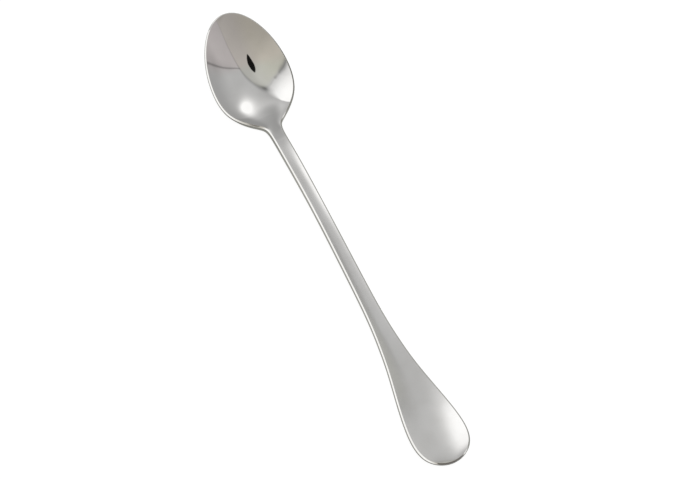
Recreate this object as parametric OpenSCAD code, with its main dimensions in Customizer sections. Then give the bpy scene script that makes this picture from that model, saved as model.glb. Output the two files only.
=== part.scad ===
// Iced tea spoon, stamped and forged in one piece from steel bar.
// The bowl tip points to +Y, the handle end to -Y, and the spoon lies on Z = 0.

/* [Overall] */
// Length from the bowl tip to the handle end
spoon_l = 190; // [165:1:215]

/* [Edge] */
// Width of the bevel that runs all around the top, seen from above
bevel_w = 0.42; // [0.3:0.02:0.6]
// Slope of the bevel
bevel_angle = 50; // [40:1:60]
// Radius that rounds the bevel down into the upright side
side_r = 0.9; // [0.6:0.05:1]
// Radius that rounds the side into the underside
edge_r = 0.4; // [0.3:0.05:0.5]

/* [Bowl] */
// Length of the bowl from its tip to the neck
bowl_l = 45.4; // [40:0.1:54]
// Greatest width of the bowl
bowl_w = 32.1; // [26:0.1:38]
// Greatest depth of the hollow under the rim
bowl_depth = 6.2; // [4:0.1:8]
// Length over which the hollow runs out behind the neck
throat_l = 4.7; // [3:0.1:8]
// Wall of the bowl at its deepest point
bowl_wall = 1.35; // [1.3:0.05:2]

/* [Handle] */
// Width of the shank behind the neck
shank_w = 5.4; // [4:0.05:8]
// Greatest width of the pear-shaped end
end_w = 21.2; // [14:0.1:28]
// Length over which the handle flares to its end
flare_l = 62; // [45:0.2:75]

/* [Thickness] */
// Thickness of the neck, where the spoon is strongest
neck_t = 2.8; // [2:0.05:4]
// Thickness of the handle at the edge of its end
end_t = 1.6; // [1.4:0.05:3]
// Crown of the handle's top, as a share of its half width
crown_share = 0.06; // [0:0.01:0.08]
// Crown of the handle's underside, as a share of its half width
back_crown_share = 0.02; // [0:0.01:0.06]

/* [Side profile] */
// Angle by which the neck lifts the shank above the line of the rim
neck_bend = 27.5; // [14:0.1:32]
// Length of the neck bend
neck_bend_l = 25; // [15:1:35]
// Angle by which the arch brings the handle down again
arch_bend = 14.7; // [8:0.1:18]
// Length of the arch
arch_bend_l = 84; // [60:1:100]
// Distance from the neck back to the middle of the arch
arch_back = 19; // [14:1:28]
// Angle by which the handle end turns up
toe_bend = 18.8; // [8:0.1:26]
// Length of the upturned stretch
toe_bend_l = 70; // [50:1:90]
// Distance from the handle end back to the middle of that stretch
toe_back = 18; // [10:1:25]

/* [Smoothness] */
// Stations in each stretch of the outline
stretch_steps = 7; // [4:1:8]
// Facets across the spoon
cross_steps = 14; // [10:2:16]
// Facets in each rounding of the edge
edge_steps = 4; // [2:1:4]

/* [Hidden] */

// The outline follows guide points as a smooth curve that runs just inside their corners.
// Each point is [share of the way along, share of the half width].
bowl_guide_shares = [[0.037, 0.434], [0.217, 0.815], [0.48, 1.035], [0.788, 0.982], [0.962, 0.32]];
shank_guide_shares = [[0, 0.95], [0.11, 1.06], [0.43, 0.97], [0.69, 1.05], [1, 1.14]];
// These run from the start of the flare to the end
end_guide_shares = [[0.19, 0.405], [0.37, 0.54], [0.73, 1.048], [0.94, 1.01]];

// Place of the middle of the neck bend and of the end of the even wall
neck_bend_share = 0.89;
wall_end_share = 0.75;
// Power of the curve by which the hollow runs out towards the neck
run_out_power = 3;
// How much gentler the hollow is near its edge than a plain parabola
gentle_share = 0.12;
// How far the walls on the neck side of the bowl stay steep, and where that sets in and is full
steep_share = 0.6;
steep_start_share = 0.5;
steep_full_share = 0.92;
// Upright part that a thin edge keeps between its two roundings, as a share of the lower radius
edge_band_share = 0.1;
// The spoon is laid on its plane by this many corrections
lay_steps = 8;

flare_at = spoon_l - flare_l;
bowl_guides = [for (p = bowl_guide_shares) [p[0] * bowl_l, p[1] * bowl_w / 2]];
shank_guides = [for (p = shank_guide_shares) [bowl_l + p[0] * (flare_at - bowl_l), p[1] * shank_w / 2]];
end_guides = [for (p = end_guide_shares) [flare_at + p[0] * flare_l, p[1] * end_w / 2]];
side_guides = concat(bowl_guides, shank_guides, end_guides);
last_guide = side_guides[len(side_guides) - 1];
// Guide points on the centre line, placed so that the curve ends exactly at the tip and at the end
tip_guide = [-side_guides[0][0] / 2, 0];
end_guide = [spoon_l + (spoon_l - last_guide[0]) / 2, 0];

function mirrored(p) = [p[0], -p[1]];
guides = concat([mirrored(side_guides[0]), tip_guide], side_guides, [end_guide, mirrored(last_guide)]);

// Point and direction at share u of the stretch that starts at guide i
function curve_point(i, u) =
    (pow(1 - u, 3) * guides[i - 1] + (3 * pow(u, 3) - 6 * u * u + 4) * guides[i]
    + (-3 * pow(u, 3) + 3 * u * u + 3 * u + 1) * guides[i + 1] + pow(u, 3) * guides[i + 2]) / 6;
function curve_heading(i, u) =
    -pow(1 - u, 2) * guides[i - 1] + (3 * u * u - 4 * u) * guides[i]
    + (1 + 2 * u - 3 * u * u) * guides[i + 1] + u * u * guides[i + 2];
// Outward direction, square to the heading, on the +X side
function outward(h) = [-h[1], h[0]] / norm(h);

stretches = len(guides) - 3;
station_n = stretches * stretch_steps;
// Each station holds its outline point and outward direction, as [distance from the tip, half width]
stations = [for (k = [0 : station_n])
    let (i = min(1 + floor(k / stretch_steps), stretches), u = k / stretch_steps - (i - 1))
    [curve_point(i, u), outward(curve_heading(i, u))]];

// Soft step from 0 to 1, smooth in its slope and in its curvature
function soft(u) = let (c = min(max(u, 0), 1)) pow(c, 3) * (c * (6 * c - 15) + 10);
// Rise of a unit slope that sets in softly over a bend of length l around the place at
function bend_rise(s, at, l) =
    let (c = min(max((s - at) / l + 1 / 2, 0), 1))
    l * (pow(c, 3) - pow(c, 4) / 2) + max(s - at - l / 2, 0);

// Side profile over the line of the rim
function profile(s) =
    tan(neck_bend) * bend_rise(s, neck_bend_share * bowl_l, neck_bend_l)
    - tan(arch_bend) * bend_rise(s, bowl_l + arch_back, arch_bend_l)
    + tan(toe_bend) * bend_rise(s, spoon_l - toe_back, toe_bend_l);

function thickness(s) =
    let (to_neck = soft((s / bowl_l - wall_end_share) / (1 - wall_end_share)))
    let (to_end = max(s - bowl_l, 0) / (spoon_l - bowl_l))
    bowl_wall + (neck_t - bowl_wall) * to_neck + (end_t - neck_t) * to_end;

// Slope of the bowl's wall under its rim, which fades out towards the neck
wall_angle = atan(4 * bowl_depth / bowl_w);
function wall_slope(s) = wall_angle * (1 - soft((s / bowl_l - wall_end_share) / (1 - wall_end_share)));

// A place on the plan, moved in from the outline
function inset(p, d) = p[0] - d * p[1];

// Edge from the crease around the hollow outward: the bevel, then the rounding down to the upright side
function side_inset(a) = side_r * (1 - sin(a));
crease_inset = bevel_w + side_inset(bevel_angle);
bevel_drop = bevel_w * tan(bevel_angle);
side_drop = bevel_drop + side_r * cos(bevel_angle);

// The hollow is deepest where its front curve and its run-out meet with the same curvature
hollow_end = bowl_l + throat_l;
deepest_at = (hollow_end + sqrt(run_out_power) * crease_inset) / (1 + sqrt(run_out_power));
// Depth of the hollow on the centre line
function hollow(s) =
    let (front = (deepest_at - s) / (deepest_at - crease_inset), back = (s - deepest_at) / (hollow_end - deepest_at))
    s < deepest_at ? bowl_depth * (1 - front * front)
    : s < hollow_end ? bowl_depth * pow(1 - back * back, run_out_power)
    : 0;
// Part of the half width that the handle's crown follows, which grows from nothing behind the neck
function crowned(s, x) = x * soft((s - bowl_l) / neck_bend_l);
// Curve across the spoon at distance s, 1 in the middle and 0 at the edges
function steepening(s) =
    steep_share * soft((s / bowl_l - steep_start_share) / (steep_full_share - steep_start_share))
    * (1 - soft((s - bowl_l) / throat_l));
function dish(s, q) = let (g = gentle_share - steepening(s)) 1 - q * q * (1 + g - g * q * q);

// Upright part of the edge, and the height of the whole lip from the crease to the start of the underside
function edge_band(s) = max(thickness(s) - side_drop - edge_r, edge_band_share * edge_r);
function lip(s) = side_drop + edge_band(s) + edge_r * cos(wall_slope(s));
// Depth of the underside below the lip, on the centre line
function belly(s, x) =
    hollow(s) + (thickness(s) - lip(s)) * hollow(s) / bowl_depth + back_crown_share * crowned(s, x);

// The lower rounding turns only as far as the wall under it, at this share of its turn
function low_turn(p, share) = share * (90 - wall_slope(p[0][0]));
function low_inset(p, share = 1) = edge_r * (1 - cos(low_turn(p, share)));
function low_drop(p, q, share) = side_drop + edge_band(q[0]) + edge_r * sin(low_turn(p, share));

// The spoon is tilted and lifted so that its belly and its handle both touch Z = 0
under_line = [for (p = stations)
    let (q = inset(p, low_inset(p)), crease = inset(p, crease_inset))
    [q[0], profile(q[0]) - low_drop(p, q, 1) - belly(q[0], crease[1])]];
under_bowl = [for (p = under_line) if (p[0] < bowl_l) p];
under_handle = [for (p = under_line) if (p[0] >= bowl_l) p];
function lowest(line, slope) =
    let (heights = [for (p = line) p[1] + slope * p[0]])
    line[search(min(heights), heights)[0]];
function lay(slope, n) =
    let (a = lowest(under_bowl, slope), b = lowest(under_handle, slope))
    n == 0 ? slope : lay((a[1] - b[1]) / (b[0] - a[0]), n - 1);
rest_slope = lay(0, lay_steps);
rest_point = lowest(under_bowl, rest_slope);
rest_lift = -rest_point[1] - rest_slope * rest_point[0];
function rim_height(s) = rest_lift + rest_slope * s + profile(s);

// Turns [distance from the tip, offset from the centre line] and a height into a point
function placed(p, z) = [p[1], spoon_l / 2 - p[0], z];

// The edge as rings from the crease down to the underside.
// A ring holds the +X side from tip to end and then the -X side back.
function crease_point(p) = let (q = inset(p, crease_inset)) placed(q, rim_height(q[0]));
function side_ring_point(p, a) =
    let (q = inset(p, side_inset(a)))
    placed(q, rim_height(q[0]) - bevel_drop - side_r * (cos(bevel_angle) - cos(a)));
function low_ring_point(p, share) =
    let (q = inset(p, low_inset(p, share)))
    placed(q, rim_height(q[0]) - low_drop(p, q, share));
function around(side) = concat(side, [for (k = [station_n - 1 : -1 : 1]) [-side[k][0], side[k][1], side[k][2]]]);
crease_ring = around([for (p = stations) crease_point(p)]);
side_rings = [for (j = [0 : edge_steps])
    around([for (p = stations) side_ring_point(p, bevel_angle + (90 - bevel_angle) * j / edge_steps)])];
low_rings = [for (j = [0 : edge_steps]) around([for (p = stations) low_ring_point(p, j / edge_steps)])];
rings = concat([crease_ring], side_rings, low_rings);
ring_n = 2 * station_n;

// Rows across the hollow and across the underside, without their two ends
function half_width_at(ring, k) = ring[k][0];
function along_at(ring, k) = spoon_l / 2 - ring[k][1];
function across(ring, k, h) =
    let (edge = ring[k], middle = cross_steps / 2)
    [for (j = [1 : cross_steps - 1])
        let (q = 1 - j / middle)
        [q * edge[0], edge[1], edge[2] - h * dish(along_at(ring, k), q)]];
inner_edge = rings[0];
outer_edge = rings[len(rings) - 1];
top_rows = [for (k = [1 : station_n - 1])
    let (s = along_at(inner_edge, k), x = half_width_at(inner_edge, k))
    across(inner_edge, k, hollow(s) - crown_share * crowned(s, x))];
low_rows = [for (k = [1 : station_n - 1])
    across(outer_edge, k, belly(along_at(outer_edge, k), half_width_at(inner_edge, k)))];

flat_rings = [for (r = rings) each r];
flat_top = [for (r = top_rows) each r];
flat_low = [for (r = low_rows) each r];
points = concat(flat_rings, flat_top, flat_low);

// Number of the point in column j of row k, where the end columns belong to the ring
function grid_index(k, j, ring_start, row_start) =
    j == 0 ? ring_start + k
    : j == cross_steps ? ring_start + ring_n - k
    : row_start + (k - 1) * (cross_steps - 1) + j - 1;
function grid_faces(ring_start, row_start) = [
    for (j = [0 : cross_steps - 1])
        [ring_start, grid_index(1, j, ring_start, row_start), grid_index(1, j + 1, ring_start, row_start)],
    for (k = [1 : station_n - 2], j = [0 : cross_steps - 1])
        let (a = grid_index(k, j, ring_start, row_start), b = grid_index(k, j + 1, ring_start, row_start))
        let (c = grid_index(k + 1, j + 1, ring_start, row_start), d = grid_index(k + 1, j, ring_start, row_start))
        each [[a, d, c], [a, c, b]],
    for (j = [0 : cross_steps - 1])
        [grid_index(station_n - 1, j, ring_start, row_start), ring_start + station_n,
            grid_index(station_n - 1, j + 1, ring_start, row_start)]];
function flipped(faces) = [for (f = faces) [f[2], f[1], f[0]]];
edge_faces = [for (r = [0 : len(rings) - 2], k = [0 : ring_n - 1])
    let (a = r * ring_n + k, b = r * ring_n + (k + 1) % ring_n)
    each [[a, a + ring_n, b + ring_n], [a, b + ring_n, b]]];
top_faces = grid_faces(0, len(flat_rings));
low_faces = grid_faces((len(rings) - 1) * ring_n, len(flat_rings) + len(flat_top));

// Bowl, neck, shank and pear-shaped end, drawn from one outline and one side profile
module spoon() {
    color("silver")
    polyhedron(points = points, faces = concat(top_faces, edge_faces, flipped(low_faces)), convexity = 6);
}

spoon();
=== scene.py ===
import math
import bpy
import bmesh
from mathutils import Matrix, Vector


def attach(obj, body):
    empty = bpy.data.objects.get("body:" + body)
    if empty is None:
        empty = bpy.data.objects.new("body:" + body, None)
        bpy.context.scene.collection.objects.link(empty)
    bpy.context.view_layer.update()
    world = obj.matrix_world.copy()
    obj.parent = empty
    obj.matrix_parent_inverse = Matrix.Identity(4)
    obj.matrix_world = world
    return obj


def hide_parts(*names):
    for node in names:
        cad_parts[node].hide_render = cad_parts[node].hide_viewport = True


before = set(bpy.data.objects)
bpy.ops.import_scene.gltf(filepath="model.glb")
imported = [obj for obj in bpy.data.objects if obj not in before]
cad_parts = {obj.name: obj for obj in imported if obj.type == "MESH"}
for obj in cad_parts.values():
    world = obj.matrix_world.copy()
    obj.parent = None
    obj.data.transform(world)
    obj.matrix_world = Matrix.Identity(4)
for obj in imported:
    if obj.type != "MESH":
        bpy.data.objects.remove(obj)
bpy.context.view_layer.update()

mmPerMetre = 1000


def deselectAll():
    if bpy.context.object and bpy.context.object.mode != "OBJECT":
        bpy.ops.object.mode_set(mode="OBJECT")
    bpy.ops.object.select_all(action="DESELECT")


def pick(thing):
    deselectAll()
    thing.select_set(True)
    bpy.context.view_layer.objects.active = thing


def clamp(value):
    return min(max(value, 0.0), 1.0)


def soft(value):
    # from 0 to 1 with level, smoothly curving ends
    c = clamp(value)
    return c ** 3 * (c * (6 * c - 15) + 10)


# camera above the spoon, a little to its left and towards its handle
cameraView = {
    "left": 14.69, "behind": 15.52, "roll": -28.18,   # degrees
    "distance": 0.7, "aim": (0.0, 0.0, 0.005), "nearest": 0.01,
    "pixelsPerMetre": 2700.5, "imageWidth": 680, "sensorWidth": 36,
    "aimPixel": (-5.69, -3.85),   # where the aim falls, right of and below the middle of the image
}


def addCamera(view):
    left, behind, roll = (math.radians(view[k]) for k in ("left", "behind", "roll"))
    back = Vector((-math.sin(left), -math.sin(behind) * math.cos(left), math.cos(behind) * math.cos(left)))
    right = Vector((0, 1, 0)).cross(back).normalized()
    up = back.cross(right)
    right, up = math.cos(roll) * right + math.sin(roll) * up, math.cos(roll) * up - math.sin(roll) * right
    x, y = (c / view["pixelsPerMetre"] for c in view["aimPixel"])
    bpy.ops.object.camera_add(location=Vector(view["aim"]) - right * x + up * y + back * view["distance"])
    camera = bpy.context.object
    camera.name = "photoCamera"
    camera.rotation_euler = Matrix((right, up, back)).transposed().to_euler()
    camera.data.sensor_width = view["sensorWidth"]
    camera.data.lens = view["sensorWidth"] * view["pixelsPerMetre"] * view["distance"] / view["imageWidth"]
    camera.data.clip_start = view["nearest"]
    bpy.context.scene.camera = camera


addCamera(cameraView)
print("camera placed")


# millimetres and degrees; guides are shares of the length and half width of bowl, shank and end
spoonForm = {
    "length": 190.0, "bevelWidth": 0.42, "bevelAngle": 50, "sideRadius": 0.9, "lowRadius": 0.4,
    "bowlLength": 45.4, "bowlWidth": 32.1, "bowlDepth": 6.2, "bowlWall": 1.35, "throatLength": 4.7,
    "shankWidth": 5.4, "endWidth": 21.2, "flareLength": 62,
    "neckThickness": 2.8, "endThickness": 1.6, "topCrown": 0.06, "backCrown": 0.02,
    "neckBend": 27.5, "neckBendLength": 25, "archBend": 14.7, "archBendLength": 84, "archBack": 19,
    "toeBend": 18.8, "toeBendLength": 70, "toeBack": 18,
    "bowlGuides": ((0.037, 0.434), (0.217, 0.815), (0.48, 1.035), (0.788, 0.982), (0.962, 0.32)),
    "shankGuides": ((0, 0.95), (0.11, 1.06), (0.43, 0.97), (0.69, 1.05), (1, 1.14)),
    "endGuides": ((0.19, 0.405), (0.37, 0.54), (0.73, 1.048), (0.94, 1.01)),
    "neckAt": 0.89, "wallEnd": 0.75, "runOut": 3, "gentle": 0.12, "edgeBand": 0.1,
    "steep": 0.6, "steepStart": 0.3, "steepFull": 0.92,
    "bevelRings": (0.12, 0.55, 0.88),
    "stretchSteps": 16, "columns": 28, "edgeSteps": 6, "settleSteps": 10, "smoothLevels": 1,
    "poleMerge": 1e-8, "seamMerge": 1e-7,   # metres
}


def outlineStations(form):
    # smooth outline drawn by the guides, as (distance from the tip, half width) and its outward direction
    flareAt = form["length"] - form["flareLength"]
    guides = [(a * form["bowlLength"], b * form["bowlWidth"] / 2) for a, b in form["bowlGuides"]]
    guides += [(form["bowlLength"] + a * (flareAt - form["bowlLength"]), b * form["shankWidth"] / 2)
               for a, b in form["shankGuides"]]
    guides += [(flareAt + a * form["flareLength"], b * form["endWidth"] / 2) for a, b in form["endGuides"]]
    first, last = guides[0], guides[-1]
    guides = [(first[0], -first[1]), (-first[0] / 2, 0)] + guides
    guides += [(form["length"] + (form["length"] - last[0]) / 2, 0), (last[0], -last[1])]
    guides = [Vector(g) for g in guides]
    steps = form["stretchSteps"]
    stretches = len(guides) - 3
    stations = []
    for k in range(stretches * steps + 1):
        i = min(1 + k // steps, stretches)
        u = k / steps - (i - 1)
        a, b, c, d = guides[i - 1:i + 3]
        place = ((1 - u) ** 3 * a + (3 * u ** 3 - 6 * u ** 2 + 4) * b
                 + (-3 * u ** 3 + 3 * u ** 2 + 3 * u + 1) * c + u ** 3 * d) / 6
        heading = (-(1 - u) ** 2 * a + (3 * u ** 2 - 4 * u) * b
                   + (1 + 2 * u - 3 * u ** 2) * c + u ** 2 * d)
        stations.append((place, Vector((-heading.y, heading.x)).normalized()))
    return stations


def bendRise(s, at, length):
    c = clamp((s - at) / length + 0.5)
    return length * (c ** 3 - c ** 4 / 2) + max(s - at - length / 2, 0)


def sideProfile(form, s):
    neck, arch, toe = (math.tan(math.radians(form[k])) for k in ("neckBend", "archBend", "toeBend"))
    return (neck * bendRise(s, form["neckAt"] * form["bowlLength"], form["neckBendLength"])
            - arch * bendRise(s, form["bowlLength"] + form["archBack"], form["archBendLength"])
            + toe * bendRise(s, form["length"] - form["toeBack"], form["toeBendLength"]))


def towardsNeck(form, s):
    return soft((s / form["bowlLength"] - form["wallEnd"]) / (1 - form["wallEnd"]))


def thicknessAt(form, s):
    toEnd = max(s - form["bowlLength"], 0) / (form["length"] - form["bowlLength"])
    return (form["bowlWall"] + (form["neckThickness"] - form["bowlWall"]) * towardsNeck(form, s)
            + (form["endThickness"] - form["neckThickness"]) * toEnd)


def wallSlope(form, s):
    return math.atan(4 * form["bowlDepth"] / form["bowlWidth"]) * (1 - towardsNeck(form, s))


def sideInset(form, angle):
    return form["sideRadius"] * (1 - math.sin(angle))


def creaseInset(form):
    return form["bevelWidth"] + sideInset(form, math.radians(form["bevelAngle"]))


def sideDrop(form, angle=math.pi / 2):
    bevel = math.radians(form["bevelAngle"])
    return form["bevelWidth"] * math.tan(bevel) + form["sideRadius"] * (math.cos(bevel) - math.cos(angle))


def bandAt(form, s):
    # upright band between the upper and the lower rounding, never quite nothing
    least = form["edgeBand"] * form["lowRadius"]
    return max(thicknessAt(form, s) - sideDrop(form) - form["lowRadius"], least)


def hollowAt(form, s):
    # a parabola in front of the deepest place and a longer run-out behind it
    end, start = form["bowlLength"] + form["throatLength"], creaseInset(form)
    stretch = math.sqrt(form["runOut"])
    deepest = (end + stretch * start) / (1 + stretch)
    if s < deepest:
        return form["bowlDepth"] * (1 - ((deepest - s) / (deepest - start)) ** 2)
    if s < end:
        return form["bowlDepth"] * (1 - ((s - deepest) / (end - deepest)) ** 2) ** form["runOut"]
    return 0.0


def crownAt(form, s, x):
    return x * soft((s - form["bowlLength"]) / form["neckBendLength"])


def dish(form, s, q):
    # curve across the spoon, 1 in the middle and 0 at the edges, with steeper walls on the neck side
    setIn = (s / form["bowlLength"] - form["steepStart"]) / (form["steepFull"] - form["steepStart"])
    steepening = form["steep"] * soft(setIn) * (1 - soft((s - form["bowlLength"]) / form["throatLength"]))
    g = form["gentle"] - steepening
    return 1 - q * q * (1 + g - g * q * q)


def lowTurn(form, s):
    return math.pi / 2 - wallSlope(form, s)


def surveySpoon(form):
    # everything that the rings and rows need at each station, and the tilt that lays the spoon on its plane
    stations = outlineStations(form)
    creases = [place - creaseInset(form) * out for place, out in stations]
    sinks = [hollowAt(form, c.x) - form["topCrown"] * crownAt(form, c.x, c.y) for c in creases]
    bellies, under = [], []
    for (place, out), c in zip(stations, creases):
        turn = lowTurn(form, place.x)
        low = place - form["lowRadius"] * (1 - math.cos(turn)) * out
        toLow = sideDrop(form) + bandAt(form, low.x)
        lip = toLow + form["lowRadius"] * math.cos(wallSlope(form, low.x))
        hollow = hollowAt(form, low.x)
        belly = (hollow + (thicknessAt(form, low.x) - lip) * hollow / form["bowlDepth"]
                 + form["backCrown"] * crownAt(form, low.x, c.y))
        bellies.append(belly)
        drop = toLow + form["lowRadius"] * math.sin(turn)
        under.append((low.x, sideProfile(form, low.x) - drop - belly))
    bowlSide = [p for p in under if p[0] < form["bowlLength"]]
    handleSide = [p for p in under if p[0] >= form["bowlLength"]]
    slope = 0.0
    for step in range(form["settleSteps"]):
        a = min(bowlSide, key=lambda p: p[1] + slope * p[0])
        b = min(handleSide, key=lambda p: p[1] + slope * p[0])
        slope = (a[1] - b[1]) / (b[0] - a[0])
    return {"stations": stations, "sinks": sinks, "bellies": bellies,
            "slope": slope, "lift": -a[1] - slope * a[0]}


def rimHeight(form, survey, s):
    return survey["lift"] + survey["slope"] * s + sideProfile(form, s)


def ringPoint(form, survey, k, side, inset, drop):
    place, out = survey["stations"][k]
    p = place - inset * out
    half = 0 if k in (0, len(survey["stations"]) - 1) else side * p.y
    return Vector((half, form["length"] / 2 - p.x, rimHeight(form, survey, p.x) - drop)) / mmPerMetre


def edgeRings(form, survey):
    # bevel, rounding, upright band and lower rounding as rings: inset and drop for each station
    steps, bevel = form["edgeSteps"], math.radians(form["bevelAngle"])
    for share in form["bevelRings"]:
        along = share * form["bevelWidth"]
        yield [(creaseInset(form) - along, along * math.tan(bevel))] * len(survey["stations"])
    for j in range(steps + 1):
        a = bevel + (math.pi / 2 - bevel) * j / steps
        yield [(sideInset(form, a), sideDrop(form, a))] * len(survey["stations"])
    for j in range(steps + 1):
        row = []
        for place, out in survey["stations"]:
            a = lowTurn(form, place.x) * j / steps
            inset = form["lowRadius"] * (1 - math.cos(a))
            drop = sideDrop(form) + bandAt(form, place.x - inset * out.x) + form["lowRadius"] * math.sin(a)
            row.append((inset, drop))
        yield row


def addSkin(name, form, survey, height):
    # a grid from -1 to 1 whose rows are the stations and whose columns crowd towards the rim
    rows = len(survey["stations"]) - 1
    bpy.ops.mesh.primitive_grid_add(x_subdivisions=form["columns"], y_subdivisions=rows, size=2)
    skin = bpy.context.object
    skin.name = name
    station = skin.data.attributes.new("station", "INT", "POINT")
    flank = skin.data.attributes.new("flank", "INT", "POINT")
    for v in skin.data.vertices:
        k = round((1 - v.co.y) / 2 * rows)
        q = math.sin(v.co.x * math.pi / 2)
        station.data[v.index].value = k
        flank.data[v.index].value = 1 if q > 0 else -1
        v.co = height(k, q)
    return skin


def buildSpoon(form):
    survey = surveySpoon(form)
    lastRing = list(edgeRings(form, survey))[-1]

    def facePlace(k, q, inset, drop, depth):
        # a point of the upper or the lower face, sunk below the edge that the face ends at
        edge = ringPoint(form, survey, k, 1, inset, drop)
        curve = dish(form, form["length"] / 2 - edge.y * mmPerMetre, q)
        return Vector((edge.x * q, edge.y, edge.z - depth * curve / mmPerMetre))

    def topPlace(k, q):
        return facePlace(k, q, creaseInset(form), 0, survey["sinks"][k])

    def lowPlace(k, q):
        return facePlace(k, q, *lastRing[k], survey["bellies"][k])

    deselectAll()
    spoon = addSkin("polishedSpoon", form, survey, topPlace)
    bpy.ops.object.mode_set(mode="EDIT")
    bpy.ops.mesh.select_all(action="SELECT")
    bpy.ops.mesh.remove_doubles(threshold=form["poleMerge"])
    bpy.ops.mesh.select_mode(type="EDGE")
    bpy.ops.mesh.select_all(action="DESELECT")
    bpy.ops.mesh.select_non_manifold()
    for ring in edgeRings(form, survey):
        bpy.ops.mesh.extrude_region_move()
        mesh = bmesh.from_edit_mesh(spoon.data)
        station = mesh.verts.layers.int["station"]
        flank = mesh.verts.layers.int["flank"]
        for v in mesh.verts:
            if v.select:
                v.co = ringPoint(form, survey, v[station], v[flank], *ring[v[station]])
        bmesh.update_edit_mesh(spoon.data)
    deselectAll()
    under = addSkin("underside", form, survey, lowPlace)
    bpy.ops.object.mode_set(mode="EDIT")
    bpy.ops.mesh.select_all(action="SELECT")
    bpy.ops.mesh.flip_normals()
    bpy.ops.object.mode_set(mode="OBJECT")
    pick(spoon)
    under.select_set(True)
    bpy.ops.object.join()
    bpy.ops.object.mode_set(mode="EDIT")
    bpy.ops.mesh.select_all(action="SELECT")
    bpy.ops.mesh.remove_doubles(threshold=form["seamMerge"])
    bpy.ops.mesh.normals_make_consistent(inside=False)
    bpy.ops.object.mode_set(mode="OBJECT")
    for name in ("station", "flank"):
        spoon.data.attributes.remove(spoon.data.attributes[name])
    smoother = spoon.modifiers.new("smoother", "SUBSURF")
    smoother.levels = smoother.render_levels = form["smoothLevels"]
    bpy.ops.object.modifier_apply(modifier=smoother.name)
    bpy.ops.object.shade_smooth()
    return spoon


spoonPiece = buildSpoon(spoonForm)
triangles = sum(len(p.vertices) - 2 for p in spoonPiece.data.polygons)
print("spoon modelled,", triangles, "triangles")


pureWhite = (1, 1, 1, 1)


def addNode(tree, kind, inputs=(), **settings):
    # inputs are (socket, value) pairs, where a value may be another node's output
    node = tree.nodes.new(kind)
    for key, value in settings.items():
        setattr(node, key, value)
    for socket, value in inputs:
        if isinstance(value, bpy.types.NodeSocket):
            tree.links.new(value, node.inputs[socket])
        else:
            node.inputs[socket].default_value = value
    return node


def calc(tree, operation, *values):
    return addNode(tree, "ShaderNodeMath", list(enumerate(values)), operation=operation).outputs[0]


def plus(tree, first, second):
    return calc(tree, "ADD", first, second)


def minus(tree, first, second):
    return calc(tree, "SUBTRACT", first, second)


def times(tree, first, second):
    return calc(tree, "MULTIPLY", first, second)


def divided(tree, first, second):
    return calc(tree, "DIVIDE", first, second)


def scaledPlus(tree, first, scale, second):
    return calc(tree, "MULTIPLY_ADD", first, scale, second)


def mixed(tree, share, first, second):
    # first where the share is 0, second where it is 1
    return scaledPlus(tree, share, minus(tree, second, first), first)


def ramp(tree, value, fromLow, fromHigh, toLow=0.0, toHigh=1.0):
    pairs = list(enumerate((value, fromLow, fromHigh, toLow, toHigh)))
    return addNode(tree, "ShaderNodeMapRange", pairs, interpolation_type="SMOOTHSTEP").outputs[0]


def bell(tree, across):
    # falls off smoothly on both sides of zero
    return calc(tree, "EXPONENT", times(tree, times(tree, across, across), -1))


def separate(tree, place):
    return addNode(tree, "ShaderNodeSeparateXYZ", [(0, place)]).outputs


def shaderMix(tree, share, first, second):
    return addNode(tree, "ShaderNodeMixShader", [(0, share), (1, first.outputs[0]), (2, second.outputs[0])])


def mirroredRays(tree):
    rays = addNode(tree, "ShaderNodeLightPath").outputs
    return calc(tree, "MAXIMUM", rays["Is Glossy Ray"], rays["Is Transmission Ray"])


def curveThrough(tree, value, points, span, reach):
    # a drawn curve over a span of degrees, whose heights lie in reach
    width, height = span[1] - span[0], reach[1] - reach[0]
    share = divided(tree, minus(tree, value, span[0]), width)
    node = addNode(tree, "ShaderNodeFloatCurve", [("Value", share)])
    line = node.mapping.curves[0]
    places = [((x - span[0]) / width, (y - reach[0]) / height) for x, y in points]
    line.points[0].location = places[0]
    line.points[1].location = places[-1]
    for place in places[1:-1]:
        line.points.new(*place)
    node.mapping.update()
    return scaledPlus(tree, node.outputs[0], height, reach[0])


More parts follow.
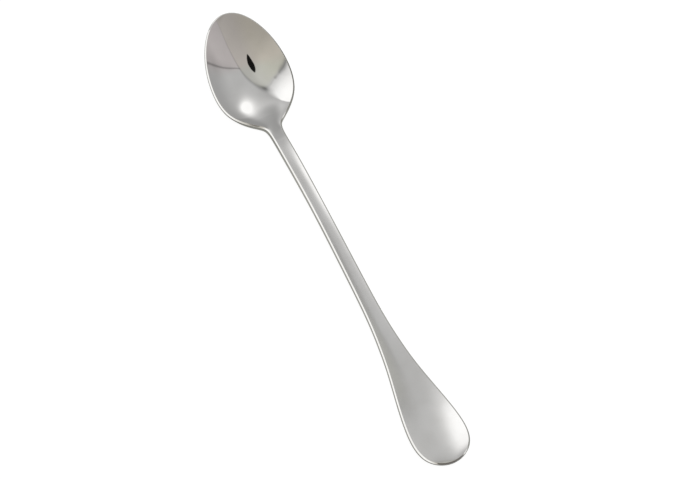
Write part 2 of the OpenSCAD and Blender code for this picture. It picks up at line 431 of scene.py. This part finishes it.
# the light tent round the spoon: places are degrees from straight up towards +X (a) and +Y (b),
# greys are 0 to 255 as they are seen in the metal
tent = {
    "inside": 171, "above": 177, "rightBelow": 173,
    "bottomLean": -0.15, "bottomReach": (12, 75), "bottomShade": 22, "leftReach": (-25, -60), "leftShade": 8,
    "leftSeam": ((-90, -25), (-70, -16), (-60, -12), (-53, -9), (-49, -7.5), (-42, -5.2), (-36, -2.6),
                 (-30, 0.3), (-25, 2.8), (-18, 6.6), (-11, 11), (-4, 14.9), (1, 16.8), (4, 16.7), (7, 14),
                 (10, 9), (15, 1.5), (20, -8), (25, -19), (30, -31), (36, -44), (45, -62)),
    "leftSeamWidth": ((-50, 2.4), (-44, 2.2), (-38, 1.6), (-30, 1.2), (-24, 1), (-10, 1.4), (-2, 2), (1, 2.4),
                      (5, 4.2), (15, 5), (25, 4), (45, 4)),
    "leftSeamDepth": ((-70, 25), (-52, 40), (-47, 42), (-40, 38), (-36, 30), (-32, 13), (-27, 24), (-25, 26),
                      (-22, 4), (-18, 0), (-8, 0), (-4, 14), (-1, 42), (1, 64), (3, 46), (6, 30), (10, 23),
                      (20, 23), (25, 20), (30, 16), (36, 11), (45, 4), (60, 0)),
    "leftSeamSoft": (-2.5, 2.5),
    "rightSeam": ((20, -13), (30, -15), (45, -16.3), (60, -17), (80, -17.5), (110, -18)),
    "rightSeamStart": (19, 25), "rightSeamWidth": 0.95, "rightSeamDepth": 35, "rightSeamSoft": (-1, 1),
    "stripIn": (-28, -9), "stripOut": (2.5, -2.5), "stripSide": (7, -8), "stripGlow": 14,
    "fadeIn": (28, 52), "fadeOut": (82, 75), "fadeWidth": 6, "fadeShade": 11,
    "windowStep": 14, "windowStepSoft": (-0.3, 1), "windowGlow": 66, "windowRise": 6.5,
    "windowEdge": ((10, -4), (18, -3.5), (21, -1.2), (23, -0.3), (26, 0), (28.5, -1), (31, -2.8), (35, -7.8),
                   (43, -16), (50, -22), (70, -40), (100, -60)),
    "windowSoft": ((10, 5), (18, 5), (23, 4.5), (26, 4), (28.5, 2.5), (31, 1.5), (100, 1.5)),
    "throatLean": -0.14, "throatFrom": (28.8, 33.2), "throatSide": (-1, 13), "throatShade": 33,
    "asideLean": 0.7, "asideFrom": (45, 78), "asideShade": 23,
    "lamps": (((28.8, 26.3), (9.8, 6), 110), ((28, 24), (18, 11), 12), ((0, 36), (13, 4.5), 14),
              ((5, 25), (7, 5.5), -8), ((34, 4), (20, 14), -5)), "lampLean": 31,
    "lowWall": (69, 78), "lowSide": (-28, -72), "lowLeft": 250,
    "frontWall": (66, 76), "frontSide": (-50, -42), "frontLean": 0.3, "frontReach": (-42, -56),
    "lowFront": 98,
    "slitCentre": (-8.6, -15.6), "slitHalf": (6.2, 12.6), "slitLean": 14, "slitPower": 1.5,
    "slitSoft": (0.85, 1.15), "slitShade": 0.16,
    "greyLimits": (3, 254), "gamma": 2.2, "metalShade": 0.77,   # the metal's own shade, divided out again
    "red": 0.99, "green": 0.992, "blue": 0.942, "warmRed": 0.065, "warmFrom": (-8, -20),
    "leftBlue": -0.06, "leftBlueFrom": (5, -40), "outerBlue": 0.998, "outerBlueSoft": (1, -3),
    "lowBlue": 0.985,
    "span": (-100, 120), "widthReach": (0, 20), "depthReach": (0, 100),   # scales of the drawn curves
}


def turned(tree, a, b, centre, half, lean):
    # coordinates in a turned frame, 1 at the ends of the half sizes
    sine, cosine = math.sin(math.radians(lean)), math.cos(math.radians(lean))
    da, db = minus(tree, a, centre[0]), minus(tree, b, centre[1])
    u = minus(tree, times(tree, da, cosine), times(tree, db, sine))
    v = plus(tree, times(tree, da, sine), times(tree, db, cosine))
    return [divided(tree, c, size) for c, size in zip((u, v), half)]


def buildTentWorld(setup):
    world = bpy.data.worlds.new("lightTent")
    bpy.context.scene.world = world
    world.use_nodes = True
    tree = world.node_tree
    tree.nodes.clear()
    span = setup["span"]
    x, y, z = separate(tree, addNode(tree, "ShaderNodeTexCoord").outputs["Generated"])
    flat = calc(tree, "SQRT", plus(tree, times(tree, x, x), times(tree, y, y)))
    tilt = times(tree, calc(tree, "ARCCOSINE", z), 180 / math.pi)
    spread = divided(tree, tilt, plus(tree, flat, 1e-5))   # straight up divides by nearly nothing, not by 0
    a, b = times(tree, spread, x), times(tree, spread, y)
    # three panels that meet at the seams, darker low down in front and far out on the left
    over = minus(tree, b, curveThrough(tree, a, setup["leftSeam"], span, span))
    away = minus(tree, b, curveThrough(tree, a, setup["rightSeam"], span, span))
    outer = mixed(tree, ramp(tree, away, *setup["rightSeamSoft"]), setup["rightBelow"], setup["above"])
    grey = mixed(tree, ramp(tree, over, *setup["leftSeamSoft"]), setup["inside"], outer)
    below = scaledPlus(tree, a, setup["bottomLean"], times(tree, b, -1))
    grey = minus(tree, grey, ramp(tree, below, *setup["bottomReach"], 0, setup["bottomShade"]))
    grey = minus(tree, grey, ramp(tree, a, *setup["leftReach"], 0, setup["leftShade"]))
    # a lighter strip inside the left seam and a soft shade along the right one
    strip = times(tree, ramp(tree, over, *setup["stripIn"]), ramp(tree, over, *setup["stripOut"]))
    grey = plus(tree, grey, times(tree, strip, ramp(tree, a, *setup["stripSide"], 0, setup["stripGlow"])))
    fade = times(tree, bell(tree, divided(tree, away, setup["fadeWidth"])), ramp(tree, a, *setup["fadeOut"]))
    grey = minus(tree, grey, times(tree, fade, ramp(tree, a, *setup["fadeIn"], 0, setup["fadeShade"])))
    # window over the left seam
    deep = divided(tree, calc(tree, "MAXIMUM", over, 0), -setup["windowRise"])
    glow = times(tree, minus(tree, 1, calc(tree, "EXPONENT", deep)), setup["windowGlow"])
    glow = plus(tree, glow, ramp(tree, over, *setup["windowStepSoft"], 0, setup["windowStep"]))
    edge = minus(tree, curveThrough(tree, b, setup["windowEdge"], span, span), a)
    blur = curveThrough(tree, b, setup["windowSoft"], span, setup["widthReach"])
    grey = scaledPlus(tree, ramp(tree, divided(tree, edge, blur), -1, 1), glow, grey)
    # seams between the panels
    width = curveThrough(tree, a, setup["leftSeamWidth"], span, setup["widthReach"])
    depth = curveThrough(tree, a, setup["leftSeamDepth"], span, setup["depthReach"])
    grey = minus(tree, grey, times(tree, bell(tree, divided(tree, over, width)), depth))
    line = bell(tree, divided(tree, away, setup["rightSeamWidth"]))
    line = times(tree, line, ramp(tree, a, *setup["rightSeamStart"], 0, setup["rightSeamDepth"]))
    grey = minus(tree, grey, line)
    # shade beyond the handle and far out on the right, and the lamps in front of it
    beyond = scaledPlus(tree, a, setup["throatLean"], b)
    gap = ramp(tree, beyond, *setup["throatFrom"], 0, setup["throatShade"])
    gap = times(tree, gap, ramp(tree, a, *setup["throatSide"]))
    aside = scaledPlus(tree, b, setup["asideLean"], a)
    aside = ramp(tree, aside, *setup["asideFrom"], 0, setup["asideShade"])
    grey = minus(tree, grey, calc(tree, "MAXIMUM", gap, aside))
    for centre, half, gain in setup["lamps"]:
        u, v = turned(tree, a, b, centre, half, setup["lampLean"])
        grey = scaledPlus(tree, times(tree, bell(tree, u), bell(tree, v)), gain, grey)
    # low down the walls are white on the left and darker in front
    low = times(tree, ramp(tree, tilt, *setup["lowWall"]), ramp(tree, a, *setup["lowSide"]))
    grey = mixed(tree, low, grey, setup["lowLeft"])
    front = ramp(tree, scaledPlus(tree, a, setup["frontLean"], b), *setup["frontReach"])
    front = times(tree, front, ramp(tree, a, *setup["frontSide"]))
    grey = mixed(tree, times(tree, ramp(tree, tilt, *setup["frontWall"]), front), grey, setup["lowFront"])
    # almond-shaped slit that the camera looks through
    u, v = turned(tree, a, b, setup["slitCentre"], setup["slitHalf"], setup["slitLean"])
    u, v = (calc(tree, "POWER", calc(tree, "ABSOLUTE", c), setup["slitPower"]) for c in (u, v))
    grey = times(tree, grey, ramp(tree, plus(tree, u, v), *setup["slitSoft"], setup["slitShade"], 1))
    # greys as seen in the metal, turned into light, and their tints
    darkest, lightest = setup["greyLimits"]
    grey = calc(tree, "MINIMUM", calc(tree, "MAXIMUM", grey, darkest), lightest)
    bright = divided(tree, calc(tree, "POWER", divided(tree, grey, 255), setup["gamma"]), setup["metalShade"])
    warm = times(tree, ramp(tree, b, *setup["warmFrom"]), minus(tree, 1, low))
    red = scaledPlus(tree, warm, setup["warmRed"], setup["red"])
    blue = scaledPlus(tree, ramp(tree, a, *setup["leftBlueFrom"]), setup["leftBlue"], setup["blue"])
    blue = mixed(tree, ramp(tree, over, *setup["outerBlueSoft"]), setup["outerBlue"], blue)
    blue = mixed(tree, low, blue, setup["lowBlue"])
    tint = addNode(tree, "ShaderNodeCombineColor", [(0, red), (1, setup["green"]), (2, blue)])
    tentLight = addNode(tree, "ShaderNodeBackground", [("Color", tint.outputs[0]), ("Strength", bright)])
    plainLight = addNode(tree, "ShaderNodeBackground", [("Color", pureWhite), ("Strength", 1.0)])
    mix = shaderMix(tree, mirroredRays(tree), plainLight, tentLight)
    addNode(tree, "ShaderNodeOutputWorld", [("Surface", mix.outputs[0])])


buildTentWorld(tent)
print("light tent built")


# lengths in metres
floorSetup = {
    "size": 6.0, "height": -0.00003, "colour": (0.86, 0.86, 0.86, 1),
    "shine": 0.86, "lit": (0.22, 0.22, 0.22, 1),   # what the camera sees: mostly glow, so the shadow is faint
    # painted shade that only the metal sees: a painted soft shadow near the spoon and a darker painted shade
    # in a few places
    "paintedNearShade": (0.4, 0.4, 0.375, 1), "contactHalf": (0.06, 0.16), "contactFade": (0.7, 1.3),
    "paintedDarkShade": (0.13, 0.13, 0.112, 1),
    "dimPlaces": (((-0.022, 0.048), (0.016, 0.01)), ((0.002, -0.106), (0.026, 0.02)),
                  ((0.045, 0.07), (0.03, 0.03))),
    # painted grey further out on the left, which only the metal sees
    "leftEdge": (-0.03, -0.12), "paintedLeftGrey": (0.6, 0.6, 0.6, 1),
}


def colourMix(tree, share, first, second):
    # this node's colours are its sockets 6 and 7 and its output 2
    return addNode(tree, "ShaderNodeMix", [(0, share), (6, first), (7, second)], data_type="RGBA").outputs[2]


def glowing(tree, colour, strength=1.0):
    return addNode(tree, "ShaderNodeEmission", [("Color", colour), ("Strength", strength)])


def buildFloor(setup):
    deselectAll()
    bpy.ops.mesh.primitive_plane_add(size=setup["size"], location=(0, 0, setup["height"]))
    floor = bpy.context.object
    floor.name = "paperFloor"
    material = bpy.data.materials.new("whitePaper")
    material.use_nodes = True
    tree = material.node_tree
    tree.nodes.clear()
    paper = addNode(tree, "ShaderNodeBsdfDiffuse", [("Color", setup["colour"])])
    shown = addNode(tree, "ShaderNodeBsdfDiffuse", [("Color", setup["lit"])])
    glow = glowing(tree, pureWhite, setup["shine"])
    seen = addNode(tree, "ShaderNodeAddShader", [(0, shown.outputs[0]), (1, glow.outputs[0])])
    # the metal mirrors painted shade: a painted soft shadow near the spoon, darker painted shade in a few
    # places, white paper further out and painted grey further out on the left
    spot = addNode(tree, "ShaderNodeNewGeometry").outputs["Position"]
    x, y = separate(tree, spot)[:2]
    u, v = (calc(tree, "POWER", divided(tree, c, half), 2) for c, half in zip((x, y), setup["contactHalf"]))
    far = ramp(tree, calc(tree, "SQRT", plus(tree, u, v)), *setup["contactFade"])
    paintedDarkShade = 0
    for place, reach in setup["dimPlaces"]:
        u, v = (divided(tree, minus(tree, c, p), r) for c, p, r in zip((x, y), place, reach))
        paintedDarkShade = calc(tree, "MAXIMUM", paintedDarkShade, times(tree, bell(tree, u), bell(tree, v)))
    # painted shadow, glowing grey near the spoon and darker in a few places
    shadow = glowing(tree, colourMix(tree, paintedDarkShade, setup["paintedNearShade"], setup["paintedDarkShade"]))
    # white paper further out, with painted grey further out on the left
    farPaper = glowing(tree, colourMix(tree, ramp(tree, x, *setup["leftEdge"]), pureWhite, setup["paintedLeftGrey"]))
    mirrored = shaderMix(tree, far, shadow, farPaper)
    cameraRay = addNode(tree, "ShaderNodeLightPath").outputs["Is Camera Ray"]
    mix = shaderMix(tree, mirroredRays(tree), shaderMix(tree, cameraRay, paper, seen), mirrored)
    addNode(tree, "ShaderNodeOutputMaterial", [("Surface", mix.outputs[0])])
    floor.data.materials.append(material)


buildFloor(floorSetup)
print("floor laid")


# lengths in metres, noise scales per metre
steel = {
    "light": (0.80, 0.792, 0.775, 1), "dark": (0.745, 0.735, 0.715, 1),
    "cloudScale": 90.0, "cloudDetail": 4.0, "cloudEdges": (0.35, 0.65),
    "lineScale": (9000.0, 220.0, 2500.0), "lineDetail": 3.0, "lineStrength": 0.012, "lineDepth": 0.00005,
    "markScale": 420.0, "markDetail": 6.0, "markRoughness": 0.7, "markEdges": (0.45, 0.75),
    "roughness": (0.022, 0.05),
    "handleFrom": (0.046, 0.034), "handleRoughness": (0.09, 0.17), "handleSide": (0.001, -0.003),
    "faceTurn": (0.78, 0.93),   # how squarely a face looks up or down to have the handle's softer polish
    "swellScale": 160.0, "swellDetail": 1.0, "swellStrength": 0.02, "swellDepth": 0.0004,
    "swings": ((0.0056, (-0.062, 0.033)), (0.0003, (0.0435, 0.055))),   # height, and where it comes down to 0
}


def noise(tree, place, scale, detail, roughness=0.5):
    inputs = [("Vector", place), ("Scale", scale), ("Detail", detail), ("Roughness", roughness)]
    return addNode(tree, "ShaderNodeTexNoise", inputs).outputs[0]


def bump(tree, height, strength, depth, *under):
    inputs = [("Height", height), ("Strength", strength), ("Distance", depth)]
    return addNode(tree, "ShaderNodeBump", inputs + [("Normal", normal) for normal in under]).outputs[0]


def polishedSteel(setup):
    material = bpy.data.materials.new("mirrorPolishedSteel")
    material.use_nodes = True
    tree = material.node_tree
    tree.nodes.clear()
    coordinates = addNode(tree, "ShaderNodeTexCoord").outputs
    place = coordinates["Object"]
    # cloudy tone of the polish
    cloud = noise(tree, place, setup["cloudScale"], setup["cloudDetail"])
    tone = addNode(tree, "ShaderNodeValToRGB", [("Fac", cloud)])
    colours = (setup["dark"], setup["light"])
    for stop, edge, colour in zip(tone.color_ramp.elements, setup["cloudEdges"], colours):
        stop.position, stop.color = edge, colour
    # fine lines that the buffing wheel leaves along the spoon
    along = addNode(tree, "ShaderNodeMapping", [("Vector", place), ("Scale", setup["lineScale"])]).outputs[0]
    lines = noise(tree, along, 1.0, setup["lineDetail"])
    # handling marks in a few patches
    marks = noise(tree, place, setup["markScale"], setup["markDetail"], setup["markRoughness"])
    pairs = list(enumerate((marks, *setup["markEdges"], *setup["roughness"])))
    worn = addNode(tree, "ShaderNodeMapRange", pairs).outputs[0]
    # the handle's flat faces are buffed more softly than its edges and the bowl, most of all on the left
    x, y = separate(tree, place)[:2]
    onHandle = ramp(tree, y, *setup["handleFrom"])
    facing = separate(tree, coordinates["Normal"])[2]
    onFace = ramp(tree, calc(tree, "ABSOLUTE", facing), *setup["faceTurn"])
    softer = ramp(tree, x, *setup["handleSide"], *setup["handleRoughness"])
    rough = plus(tree, worn, times(tree, times(tree, onHandle, onFace), softer))
    # long shallow swings of the handle's polish, faint swells and the fine lines
    swing = 0
    for height, (start, end) in setup["swings"]:
        swing = plus(tree, swing, ramp(tree, y, start, end, height * mmPerMetre, 0))
    swung = bump(tree, swing, 1.0, 1 / mmPerMetre)
    swell = noise(tree, place, setup["swellScale"], setup["swellDetail"])
    waves = bump(tree, swell, setup["swellStrength"], setup["swellDepth"], swung)
    brushed = bump(tree, lines, setup["lineStrength"], setup["lineDepth"], waves)
    shader = addNode(tree, "ShaderNodeBsdfPrincipled", [("Base Color", tone.outputs[0]), ("Metallic", 1.0),
                                                        ("Roughness", rough), ("Normal", brushed)])
    addNode(tree, "ShaderNodeOutputMaterial", [("Surface", shader.outputs[0])])
    return material


spoonPiece.data.materials.clear()
spoonPiece.data.materials.append(polishedSteel(steel))
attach(spoonPiece, "root")
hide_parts("spoon")
print("steel finished")

bpy.context.scene.view_settings.view_transform = "Standard"
